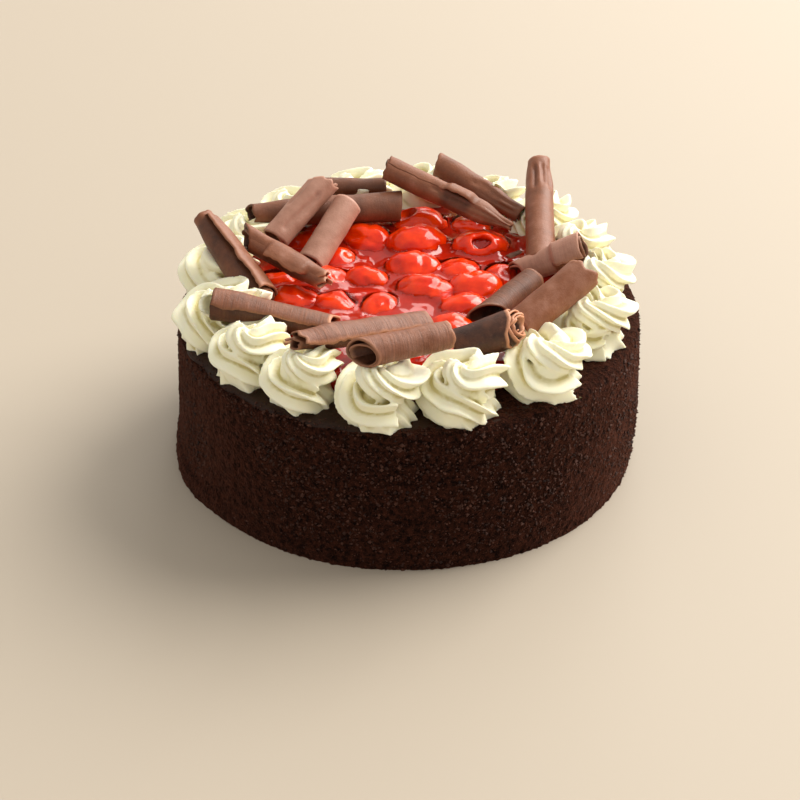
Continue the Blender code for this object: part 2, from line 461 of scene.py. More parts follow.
def crumb_finish():
    made = Finish(
        "chocolate_crumb",
        Roughness=0.9,
        Specular_IOR_Level=0.05,
        Sheen_Weight=0.17,
        Sheen_Roughness=0.35,
        Sheen_Tint=(1.0, 0.36, 0.22, 1),
    )
    cloud = made.noise(2.2 * MM, 5, 0.75)
    fine = made.noise(0.8 * MM, 3, 0.6)
    dark = (0.0032, 0.0012, 0.0009, 1)
    light = (0.041, 0.012, 0.0066, 1)
    colour = made.mix(made.between(cloud, 0.4, 0.62), dark, light)
    specks = made.between(fine, 0.62, 0.74)
    colour = made.mix(specks * 0.4, colour, (0.21, 0.08, 0.048, 1))
    bump = made.relief(fine, 0.9 * MM)
    return made.paint(Base_Color=colour, Normal=bump)


def speck_finish():
    made = Finish("loose_crumb", Roughness=0.7, Specular_IOR_Level=0.2)
    cloud = made.noise(2.5 * MM, 2, 0.5)
    dark = (0.010, 0.0036, 0.0024, 1)
    light = (0.088, 0.033, 0.02, 1)
    colour = made.mix(made.between(cloud, 0.3, 0.7), dark, light)
    return made.paint(Base_Color=colour)


def glaze_finish():
    made = Finish("dark_glaze", Roughness=0.5, Specular_IOR_Level=0.2)
    cloud = made.noise(6 * MM, 4, 0.6)
    colour = made.mix(cloud, (0.014, 0.0055, 0.003, 1), (0.036, 0.014, 0.008, 1))
    bump = made.relief(made.noise(1.5 * MM, 4, 0.6), 0.2 * MM)
    return made.paint(Base_Color=colour, Normal=bump, Roughness=0.35 + 0.4 * cloud)


def cream_finish():
    made = Finish(
        "whipped_cream",
        Subsurface_Weight=0.2,
        Subsurface_Radius=(1.0, 0.8, 0.45),
        Subsurface_Scale=2.0 * MM,
        Specular_IOR_Level=0.35,
    )
    cloud = made.noise(9 * MM, 3)
    fine = made.noise(0.9 * MM, 3, 0.6)
    fold = made.share("fold")
    colour = made.mix(cloud, (0.98, 0.96, 0.77, 1), (0.96, 0.915, 0.65, 1))
    # Painted shade: the cream turns a darker olive in its folds, where shade falls, and stays near white
    # on the crests.
    colour = made.mix(made.between(fold, 0.53, 0.84), colour, (0.62, 0.54, 0.24, 1))
    bump = made.relief(fine, 0.05 * MM)
    return made.paint(Base_Color=colour, Roughness=0.4 + 0.2 * cloud, Normal=bump)


def cherry_finish():
    made = Finish(
        "glazed_cherry",
        Roughness=0.3,
        Specular_IOR_Level=0.04,
        Subsurface_Weight=0.2,
        Subsurface_Radius=(1.0, 0.12, 0.04),
        Subsurface_Scale=2.5 * MM,
        Coat_Weight=1.0,
        Coat_Roughness=0.03,
        Coat_IOR=1.42,
    )
    cloud = made.noise(7 * MM, 3)
    bright = (0.90, 0.048, 0.001, 1)
    deep = (0.60, 0.014, 0.001, 1)
    colour = made.mix(made.between(cloud, 0.35, 0.7), bright, deep)
    bump = made.relief(made.noise(4 * MM, 2, 0.5), 0.25 * MM)
    return made.paint(Base_Color=colour, Normal=bump)


def jelly_finish():
    made = Finish(
        "red_jelly",
        Roughness=0.4,
        Specular_IOR_Level=0.0,
        Coat_Weight=1.0,
        Coat_Roughness=0.03,
        Coat_IOR=1.6,
    )
    cloud = made.noise(7 * MM, 3)
    deep = made.share("deep")
    colour = made.mix(cloud, (0.62, 0.019, 0.003, 1), (0.22, 0.009, 0.004, 1))
    bump = made.relief(made.noise(4 * MM, 2, 0.5), 0.15 * MM)
    return made.paint(Base_Color=colour, Alpha=0.94 * deep, Normal=bump)


def curl_finish():
    """Chocolate of the curls: pale where the mesh says that it is torn, and scored across the roll."""
    made = Finish("curl_chocolate", Specular_IOR_Level=0.4)
    cloud = made.noise(6 * MM, 4, 0.6)
    fine = made.noise(0.8 * MM, 4, 0.65)
    place = made.node("CombineXYZ", {0: made.share("along"), 1: made.share("around") * 0.07})
    values = {"Vector": place, "Scale": 1 / (0.8 * MM), "Detail": 4.0, "Roughness": 0.7}
    lines = made.node("TexNoise", values)
    scored = made.share("scored")
    # The tone is partly each curl's own chocolate and partly painted light and shade: lighter on curls
    # that lie in the light, darker on those in shade, and darker under the free edge and inside the roll.
    tone_and_painted_light = made.share("tone_and_painted_light") * 0.88 + 0.5 * (cloud - 0.5)
    dark = (0.035, 0.010, 0.004)
    brown = (0.235, 0.079, 0.034)
    light = (0.56, 0.305, 0.225)
    colour = made.node("ValToRGB", {0: tone_and_painted_light}, stops=((0, dark), (0.45, brown), (1, light)))
    colour = made.mix(made.between(fine, 0.6, 0.75) * 0.3, colour, (0.36, 0.19, 0.13, 1))
    colour = made.mix(made.between(lines, 0.6, 0.4) * scored * 0.4, colour, (0.05, 0.016, 0.008, 1))
    colour = made.mix(made.share("pale"), colour, (0.62, 0.28, 0.15, 1))
    bump = made.relief(0.4 * fine + 0.7 * lines * scored, 0.4 * MM)
    return made.paint(Base_Color=colour, Roughness=0.36 + 0.24 * cloud, Normal=bump)


# ---------------------------------------------------------------- cake


def side_profile(count):
    """Points (radius, height) from the foot up the side, over the rim and inwards."""
    heights = np.unique(np.round(cake_points[:, 2], 5))
    reach = np.hypot(cake_points[:, 0], cake_points[:, 1])
    radii = [reach[abs(cake_points[:, 2] - height) < 1e-5].max() for height in heights]
    outline = list(zip(radii, heights)) + [(radii[-1] - RIM_WIDTH, heights[-1])]
    outline = np.array(outline)
    steps = np.concatenate([[0], np.cumsum(np.linalg.norm(np.diff(outline, axis=0), axis=1))])
    walk = np.linspace(0, steps[-1], count)
    return np.stack([np.interp(walk, steps, outline[:, k]) for k in (0, 1)], axis=1)


def coat_lean(points):
    """How much thicker the coat is at each point, towards the right and above the foot."""
    return COAT_LEAN * points[..., 0] / CAKE_RADIUS * ease(points[..., 2] / (20 * MM))


def crumb_lift(points):
    """How far the crumb coat stands out at each point."""
    grain, number = grains(points, CRUMB_GRAIN, 5)
    clump, share = grains(points, CRUMB_CLUMP, 11)
    ledge = np.exp(-(((points[:, 1] - LEDGE_PLACE) / LEDGE_WIDTH) ** 2))
    ledge *= ease((LEDGE_HEIGHT - points[:, 2]) / (2 * MM))
    lift = 0.8 * MM * (grain * (0.5 + number) - 0.45)
    lift += 0.6 * MM * (clump * share - 0.2)
    lift += 0.8 * MM * uneven(points, 24 * MM, 17)
    lift += LEDGE_DEPTH * ledge * (points[:, 0] < 0)
    return lift + coat_lean(points)


def crumb_coat(finish):
    """The cake's own surface: crumbs pressed on to the side and over the rim."""
    rows = COAT_ROWS
    columns = int(2 * math.pi * CAKE_RADIUS / CRUMB_CELL)
    profile = side_profile(rows)
    slope = np.gradient(profile, axis=0)
    slope /= np.linalg.norm(slope, axis=1)[:, None]
    turns = np.linspace(0, 2 * math.pi, columns, endpoint=False)
    around = np.stack([np.cos(turns), np.sin(turns)], axis=1)
    flat = np.zeros((rows, columns, 3))
    flat[..., :2] = profile[:, None, :1] * around[None]
    flat[..., 2] = profile[:, None, 1]
    out = np.zeros((rows, columns, 3))
    out[..., :2] = slope[:, None, 1:] * around[None]
    out[..., 2] = -slope[:, :1]
    lift = crumb_lift(flat.reshape(-1, 3)).reshape(rows, columns)
    points = flat + out * lift[..., None]
    points[..., 2] = np.maximum(points[..., 2], 0)
    points[0, :, 2] = 0
    points = np.vstack([points.reshape(-1, 3), [[0, 0, 0], [0, 0, CAKE_TOP - 1 * MM]]])
    faces = capped_faces(rows, columns)
    return show("crumb_coat", mesh_of("crumb_coat", points, faces), finish, "crumb", "cake_body")


def loose_crumbs(finish):
    """Small crumbs on the coat, joined into one mesh."""
    luck = np.random.default_rng(8)
    tips = np.array([(1, 0, 0), (-1, 0, 0), (0, 1, 0), (0, -1, 0), (0, 0, 1), (0, 0, -1)], float)
    sides = [(x, y, z) for x in (0, 1) for y in (2, 3) for z in (4, 5)]
    profile = side_profile(200)
    where = profile[(luck.random(CRUMB_COUNT) ** 0.9 * 199).astype(int)]
    turn = luck.random(CRUMB_COUNT) * 2 * math.pi
    middle = np.stack([where[:, 0] * np.cos(turn), where[:, 0] * np.sin(turn), where[:, 1]], axis=1)
    middle[:, :2] *= (1 + coat_lean(middle) / where[:, 0])[:, None]
    size = 0.35 * MM + 0.5 * MM * luck.random(CRUMB_COUNT) ** 2
    jitter = 1 + 0.8 * (luck.random((CRUMB_COUNT, 6, 3)) - 0.5)
    stretch = 0.7 + 0.7 * luck.random((CRUMB_COUNT, 1, 3))
    points = middle[:, None] + tips[None] * jitter * stretch * size[:, None, None]
    points[..., 2] = np.maximum(points[..., 2], 0)
    faces = (np.array(sides)[None] + (np.arange(CRUMB_COUNT) * 6)[:, None, None]).reshape(-1, 3)
    mesh = mesh_of("loose_crumbs", points.reshape(-1, 3), faces.tolist())
    return show("loose_crumbs", mesh, finish, "crumb", smooth=False)


def glaze(finish):
    """The thin glaze on the cake's top, out to its uneven edge."""
    rows, columns = 30, 300
    turns = np.linspace(0, 2 * math.pi, columns, endpoint=False)
    ring = np.stack([np.cos(turns), np.sin(turns), 0 * turns], axis=1)
    edge = GLAZE_EDGE + 1.6 * MM * uneven(ring * GLAZE_EDGE, 9 * MM, 3)
    share = np.linspace(0, 1, rows)[:, None]
    radius = GLAZE_INNER + (edge[None] - GLAZE_INNER) * share
    points = radius[..., None] * ring[None]
    points[..., 2] = CAKE_TOP + GLAZE_LEVEL - 1.2 * MM * ease((share - 0.93) / 0.07)
    flat = points.reshape(-1, 3)
    flat[:, 2] += 0.15 * MM * uneven(flat, 8 * MM, 5) + 0.08 * MM * uneven(flat, 2 * MM, 6)
    under = flat.copy()
    under[:, 2] = CAKE_TOP - 1.5 * MM
    count = rows * columns
    faces = grid_faces(rows, columns, closed=True)
    faces += grid_faces(rows, columns, closed=True, first=count)
    last = count - columns
    for i in range(columns):
        j = (i + 1) % columns
        faces.append((i, j, count + j, count + i))
        faces.append((last + i, last + j, count + last + j, count + last + i))
    return show("glaze", mesh_of("glaze", np.vstack([flat, under]), faces), finish, "crumb")


# ---------------------------------------------------------------- cream


def rope(luck, height, heading_end):
    """A star-shaped rope of cream: it starts on top in the middle, runs down and outwards round the
    loop, and ends in the torn tips of its ridges."""
    ridges = luck.integers(6, 8)
    count, sides = 120, 96
    step = ROPE_LENGTH / (count - 1)
    done = np.arange(count) * step
    left = ROPE_LENGTH - done
    loop = LOOP_RADIUS * (0.35 + 0.65 * ease(done / (20 * MM)))
    bend = (0.25 + 0.75 * ease(left / (8 * MM))) / loop
    heading = np.cumsum(bend) * step
    heading += heading_end - heading[-1]
    path = np.stack([np.cumsum(np.cos(heading)), np.cumsum(np.sin(heading))], axis=1) * step
    k = int(0.6 * count)
    path -= path[k] + LOOP_RADIUS * np.array([-math.sin(heading[k]), math.cos(heading[k])])
    grown = ease(done / (24 * MM))
    near_end = ease(1 - left / (10 * MM))
    size = ROPE_RADIUS * (0.55 + 0.45 * grown) * (1 - 0.06 * near_end)
    levels = (height - 5.2 * MM, 16 * MM, 9.8 * MM, 7.6 * MM)
    up = np.interp(done / ROPE_LENGTH, (0, 0.3, 0.62, 1), levels)
    up = np.convolve(np.pad(up, 8, "edge"), np.ones(17) / 17, "valid")
    around = np.linspace(0, 2 * math.pi, sides, endpoint=False)
    shift = 0.85 * (heading[-1] - heading) + luck.uniform(0, 2 * math.pi)
    shift += 0.32 * np.sin(2 * math.pi * done / (21 * MM) + luck.uniform(0, 2 * math.pi))
    turn = around[None] - shift[:, None]
    swings = luck.uniform(0, 2 * math.pi, 3)
    warped = turn + 0.16 * np.sin(turn + swings[0]) + 0.1 * np.sin(2 * turn + swings[1])
    warped = warped + 0.35 / ridges * np.sin(ridges * warped)
    half = ridges * warped / 2
    valley = 0.5 * np.abs(np.sin(half)) ** 1.2 + 0.5 * (1 - np.abs(np.cos(half)))
    ridge = np.round(warped * ridges / (2 * math.pi)).astype(int) % ridges
    strong = 1 + 0.2 * np.sin(turn + swings[2])
    depth = 0.46 * (0.6 + 0.4 * grown) * (1 + 0.45 * near_end)
    radius = size[:, None] * (1 + 0.04 * (1 - valley) - depth[:, None] * strong * valley)
    radius *= 1 + 0.06 * near_end[:, None] * (1 - valley**2)
    ahead = np.stack([np.cos(heading), np.sin(heading), 0 * heading], axis=1)
    out = np.stack([np.sin(heading), -np.cos(heading), 0 * heading], axis=1)
    middle = np.column_stack([path, up])
    across = radius * np.cos(around)
    points = middle[:, None] + across[..., None] * out[:, None]
    points[..., 2] += radius * np.sin(around)
    lengths = luck.uniform(-1.5 * MM, 3.0 * MM, ridges)[ridge]
    reach = lengths * (1 - valley**2) * near_end[:, None]
    points += reach[..., None] * ahead[:, None]
    ends = [middle[0], middle[-1] - 2.5 * MM * ahead[-1]]
    return np.vstack([points.reshape(-1, 3), ends]), capped_faces(count, sides)


def foot(luck):
    """The first ring of cream, which spreads out under the rope in wavy folds."""
    rows, sides = 14, 120
    share = np.linspace(0, 1, rows)[:, None]
    turn = np.linspace(0, 2 * math.pi, sides, endpoint=False)[None]
    swings = luck.uniform(0, 2 * math.pi, 4)
    warped = turn + 0.25 * np.sin(turn + swings[0]) + 0.16 * np.sin(3 * turn + swings[1])
    warped = warped + 0.5 * share
    fold = np.abs(np.sin(4.5 * warped))
    waves = np.sin(5 * warped + swings[2]) * np.sin(3 * turn + swings[3])
    spread = 1 + 0.10 * np.exp(-share / 0.12) * (0.4 + waves)
    radius = FOOT_RADIUS * (1 - 0.32 * share**2) * spread
    radius = radius * (1 - 0.22 * fold**0.8 * (1 - 0.5 * share))
    height = FOOT_HEIGHT * share + 0 * radius - FOOT_SUNK
    points = np.stack([radius * np.cos(turn), radius * np.sin(turn), height], axis=-1)
    ends = [[0, 0, -FOOT_SUNK], [0, 0, FOOT_HEIGHT]]
    return np.vstack([points.reshape(-1, 3), ends]), capped_faces(rows, sides)


def joined(*shapes):
    """The points and faces of several closed shapes as one."""
    points, faces = [], []
    for more, sides in shapes:
        first = sum(len(p) for p in points)
        points.append(more)
        faces += [tuple(first + i for i in side) for side in sides]
    return np.vstack(points), faces


def hollows(mesh):
    """How far each point lies below the softened surface: more than 0 in a fold, less on a crest."""
    points = points_of(mesh)
    ends = np.empty(2 * len(mesh.edges), dtype=np.int32)
    mesh.edges.foreach_get("vertices", ends)
    one, other = ends.reshape(-1, 2).T
    near = np.maximum(np.bincount(ends, minlength=len(points)), 1)
    soft = points.copy()
    for _ in range(FOLD_ROUNDS):
        total = np.zeros_like(soft)
        for k in range(3):
            total[:, k] = np.bincount(one, soft[other, k], len(points))
            total[:, k] += np.bincount(other, soft[one, k], len(points))
        soft = 0.5 * soft + 0.5 * total / near[:, None]
    return ((soft - points) * normals_of(mesh)).sum(1)


def rosette(node, finish):
    """One piped rosette on its spot, pressed in where curls lie on it."""
    number = int(node[-2:])
    luck = np.random.default_rng(200 + number)
    solid = node_points(node)
    base = solid[solid[:, 2] < solid[:, 2].min() + 0.1 * MM]
    spot = base.mean(0) * (0.968, 0.975, 1)
    reach = np.hypot(*(base - spot)[:, :2].T).max() / 0.92
    heading = math.radians(luck.uniform(-5, 30))
    height = CREAM_HEIGHT * luck.uniform(0.95, 1.04)
    mesh = mesh_of("cream", *joined(rope(luck, height, heading), foot(luck)))
    mesh = remeshed(mesh, CREAM_VOXEL, 3, CREAM_KEPT)
    points = points_of(mesh)
    points[:, :2] *= reach / CREAM_RADIUS
    soft = np.stack([uneven(points + 50 * number * MM, 10 * MM, k) for k in range(3)], axis=1)
    points += 1.2 * MM * soft
    # The fold share sets the painted shade that darkens the folds of the cream.
    set_share(mesh, "fold", np.clip(0.5 + hollows(mesh) / (1.2 * MM), 0, 1))
    points[:, 2] = np.maximum(points[:, 2], -0.2 * MM)
    points += spot
    for roll in ROLLS.values():
        points = roll.keep_clear(points, CREAM_GAP)
    set_points(mesh, points)
    return show(f"cream_{number:02d}", mesh, finish, "cream", node)


# ---------------------------------------------------------------- cherries and jelly


def widen_stone_hole(points, middle):
    """Spread and roughen the rim of the hole that leans to the front, most of all sideways."""
    lean = np.array([0, -math.sin(STONE_LEAN), math.cos(STONE_LEAN)])
    away = points - middle
    high = away @ lean
    out = away - high[:, None] * lean
    far = np.linalg.norm(out, axis=1)[:, None]
    near = np.exp(-((far / (5 * MM)) ** 2)) * (high > 0)[:, None]
    push = (0.4 + 1.8 * uneven(points, 8 * MM, 3))[:, None] * MM * near
    way = out / np.maximum(far, 0.1 * MM)
    points += way * push
    points[:, 0] += 1.7 * MM * (way * near)[:, 0]
    points[:, 2] += 1.1 * MM * near[:, 0] * uneven(points, 2.6 * MM, 6)


def cherry(node, finish):
    """One cherry: its solid made smooth and full, with the dents and folds of soft fruit."""
    number = int(node[-2:])
    luck = np.random.default_rng(200 + number)
    mesh = remeshed(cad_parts[node].data.copy(), CHERRY_VOXEL, 5)
    points = points_of(mesh)
    normals = normals_of(mesh)
    middle = points.mean(0)
    base = np.array([middle[0], middle[1], points[:, 2].min()])
    lift = 0.9 * MM * uneven(points, 7 * MM, number)
    lift += 0.4 * MM * uneven(points, 4 * MM, number + 80)
    fold = 1 - np.abs(uneven(points, 10 * MM, number + 50))
    lift -= 0.8 * MM * fold**5
    for _ in range(3):
        way = luck.normal(size=3) * (1, 1, 0.6)
        way /= np.linalg.norm(way)
        away = (points - middle) / np.linalg.norm(points - middle, axis=1)[:, None]
        lift -= 1.3 * MM * np.exp(-((1 - away @ way) / luck.uniform(0.05, 0.16)))
    points = base + (points - base) * CHERRY_SWELL + normals * lift[:, None]
    if number == PITTED:
        widen_stone_hole(points, middle)
    for roll in ROLLS.values():
        points = roll.keep_clear(points, CHERRY_GAP)
    set_points(mesh, points)
    return show(f"fruit_{number:02d}", mesh, finish, "cherry", node)


def jelly(finish, fruit):
    """The pool of jelly, drawn up against the cherries that stand in it."""
    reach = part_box("jelly")[1].x + 3 * MM
    half = int(reach / JELLY_CELL)
    line = np.arange(-half, half + 1) * JELLY_CELL
    across, deep = np.meshgrid(line, line)
    points, faces = [], []
    for piece in fruit:
        first = len(points)
        points += [tuple(v.co) for v in piece.data.vertices]
        faces += [tuple(first + i for i in f.vertices) for f in piece.data.polygons]
    tree = BVHTree.FromPolygons(points, faces)
    ground = np.full(across.shape, CAKE_TOP)
    for index in np.ndindex(across.shape):
        hit = tree.ray_cast(Vector((across[index], deep[index], 0.2)), Vector((0, 0, -1)))[0]
        if hit:
            ground[index] = hit.z
    drawn = np.maximum(ground, JELLY_LEVEL + JELLY_RISE)
    for _ in range(JELLY_ROUNDS):
        beside = drawn[:-2, 1:-1] + drawn[2:, 1:-1] + drawn[1:-1, :-2] + drawn[1:-1, 2:]
        drawn[1:-1, 1:-1] = (drawn[1:-1, 1:-1] * 2 + beside) / 6
    flat = np.stack([across.ravel(), deep.ravel(), drawn.ravel()], axis=1)
    plan = flat * (1, 1, 0)
    flat[:, 2] += 1.1 * MM * uneven(plan, 10 * MM, 4) + 0.5 * MM * uneven(plan, 4.5 * MM, 9)
    for roll in ROLLS.values():
        flat = roll.pressed(flat, JELLY_GAP)
    flat[:, 2] = np.maximum(flat[:, 2], CAKE_TOP + 0.6 * MM)
    index = np.arange(across.size).reshape(across.shape)
    inside = (np.hypot(across, deep) < reach)[:-1, :-1]
    corners = (index[:-1, :-1], index[:-1, 1:], index[1:, 1:], index[1:, :-1])
    faces = np.stack(corners, axis=-1)[inside].reshape(-1, 4).tolist()
    mesh = mesh_of("jelly_pool", flat, faces)
    set_share(mesh, "deep", ease((flat[:, 2] - ground.ravel() + 0.3 * MM) / JELLY_CLEAR))
    bm = bmesh.new()
    bm.from_mesh(mesh)
    bmesh.ops.delete(bm, geom=[v for v in bm.verts if not v.link_faces], context="VERTS")
    border = [e for e in bm.edges if e.is_boundary]
    made = bmesh.ops.extrude_edge_only(bm, edges=border)["geom"]
    rim = [e for e in made if isinstance(e, bmesh.types.BMEdge) and e.is_boundary]
    for vert in {v for e in rim for v in e.verts}:
        vert.co.z = CAKE_TOP
    bmesh.ops.holes_fill(bm, edges=rim, sides=0)
    bmesh.ops.recalc_face_normals(bm, faces=bm.faces)
    bm.to_mesh(mesh)
    bm.free()
    return show("jelly_pool", mesh, finish, "jelly", "jelly")


# ---------------------------------------------------------------- curls


# How each sheet is rolled and torn. Lengths are mm, and a pair is for the left end and the right end.
#   edge: where the sheet's free edge lies
#   turns, pitch: how often it goes round, and how much closer each turn lies
#   opened, lift: between which shares of the length the free edge stands off, and how far
#   band: the share where a thicker last stretch starts, and how much thicker it is
#   torn: how ragged the left end, the right end and the free edge are
#   slant: how far each end is cut off askew, its front side shorter
#   longer, wider: added to each end, and to the radius
#   core: how far the inside stands out at each end, for each turn
#   taper, lower: how much thinner and how much lower each end is
#   pleats: angle, depth, and the shares of the length where each starts and stops
#   tone, scored: from dark to light, partly each curl's own chocolate and partly painted light and shade;
#       and how clear the lines across the roll are
#   pale: how far the left end, the right end and the free edge show torn chocolate's colour
CURLS = {
    "curl_01": dict(
        edge=14, turns=1.45, opened=(0.04, 2), lift=1.6, torn=(0.5, 1.4, 0.3), longer=(0, 1.2),
        taper=(1.0, 0), wider=0.5, lower=(0, 5), tone_and_painted_light=0.5, pale=(0, 0.4, 0.25),
    ),
    "curl_02": dict(
        edge=66, turns=1.5, pitch=2.8, opened=(0.12, 0.8), lift=1.3, torn=(1.3, 2.0, 0.8),
        slant=(1.0, 0.3), longer=(9, -1), core=(0, 2.4), taper=(0, 1), wider=0.2, tone_and_painted_light=0.48,
        pale=(0.1, 0.7, 0.5),
    ),
    "curl_03": dict(
        edge=190, torn=(0.6, 2.4, 0), slant=(0, -0.6), longer=(0, -1), wider=-0.4,
        pleats=((52, 1.2, 0.1, 0.9), (-22, 1.1, 0.45, 1.1)), tone_and_painted_light=0.9, pale=(0, 0.1, 0),
    ),
    "curl_04": dict(
        edge=200, torn=(0.4, 0.4, 0), longer=(2, 0), wider=0.3, lower=(3.5, 0), tone_and_painted_light=0.95,
        pale=(0, 0, 0),
    ),
    "curl_05": dict(
        edge=200, torn=(1.8, 0.5, 0), slant=(0.2, 0.4), longer=(1, 0), core=(0, 0),
        taper=(1.4, 0), wider=1.0, tone_and_painted_light=0.35, scored=0.3, pale=(0, 0.1, 0),
    ),
    "curl_06": dict(
        edge=200, torn=(0.5, 0.5, 0), longer=(0, 5), wider=0.6, tone_and_painted_light=0.3,
    ),
    "curl_07": dict(
        edge=30, pitch=2.4, opened=(0.45, 0.72), lift=0.9, torn=(0.9, 0.8, 0.5), slant=(0.3, 0),
        longer=(1, 1), taper=(0, 3.4), wider=0.3,
        pleats=((48, 1.0, 0.35, 0.95), (66, 0.8, 0.4, 1.1), (86, 0.7, 0.5, 1.1)), tone_and_painted_light=0.5,
        pale=(0, 0.3, 0.15),
    ),
    "curl_08": dict(
        edge=200, torn=(0.9, 0.6, 0), slant=(0.4, 0), longer=(1, 5), taper=(0, 1.8), wider=0.4,
        lower=(0, 2.5), pleats=((20, 0.9, 0.5, 1.1), (38, 0.9, 0.45, 0.9), (58, 0.8, 0.55, 1.1)),
        tone_and_painted_light=0.42,
    ),
    "curl_09": dict(
        edge=170, torn=(0.4, 0.7, 0), longer=(11, 0.5), taper=(0, 1.2), wider=0.4,
        pleats=((-26, 1.8, 0.58, 0.93), (16, 1.6, 0.62, 0.95), (46, 1.6, 0.58, 0.92)), tone_and_painted_light=0.52,
        scored=0.15,
    ),
    "curl_10": dict(
        edge=84, opened=(0.55, 2), band=(0.55, 0.9), torn=(0.6, 1.0, 0.5), slant=(1.0, 0),
        wider=0.9, lower=(3.5, 0), tone_and_painted_light=0.9, scored=0.3, pale=(0.1, 0.2, 0.1),
    ),
    "curl_11": dict(
        edge=200, turns=1.2, pitch=1.5, torn=(0.9, 0.9, 0), slant=(1.6, 0), wider=0.9,
        lower=(1.5, 0), tone_and_painted_light=0.34, scored=1.0, pale=(0.3, 0.2, 0),
    ),
    "curl_12": dict(
        edge=200, torn=(0.4, 1.9, 0), slant=(0, -0.35), longer=(5, -3.5), wider=-0.4,
        lower=(4, -0.5), tone_and_painted_light=0.55, pale=(0, 0.15, 0),
    ),
    "curl_13": dict(
        edge=190, turns=4.3, pitch=1.35, torn=(0.5, 2.6, 0), slant=(0, 0.5), longer=(0, -1),
        core=(0, 0.9), wider=1.6, tone_and_painted_light=0.06, pale=(0, 1.0, 0),
    ),
    "curl_14": dict(
        edge=74, opened=(-1, 2), lift=0.9, torn=(2.4, 0.6, 0.5), slant=(0.3, 0), core=(2.5, 0),
        taper=(1.6, 0), wider=0.7, lower=(0, 3.5), tone_and_painted_light=0.54, scored=1.0, pale=(0.35, 0.2, 0.6),
    ),
    "curl_15": dict(
        edge=190, turns=1.9, pitch=2.3, torn=(0.6, 0.9, 0), slant=(0.75, 0), longer=(2, -2),
        wider=0.7, lower=(0, -2.5), tone_and_painted_light=0.6, scored=0.9, pale=(0.35, 0.35, 0.3),
    ),
    "curl_16": dict(
        edge=60, pitch=2.4, opened=(-1, 2), lift=0.8, torn=(0.5, 2.2, 0.5), core=(0, 1.5),
        wider=0.7, lower=(0.5, 5.0), tone_and_painted_light=0.46, scored=0.9, pale=(0, 1.0, 0.3),
    ),
}


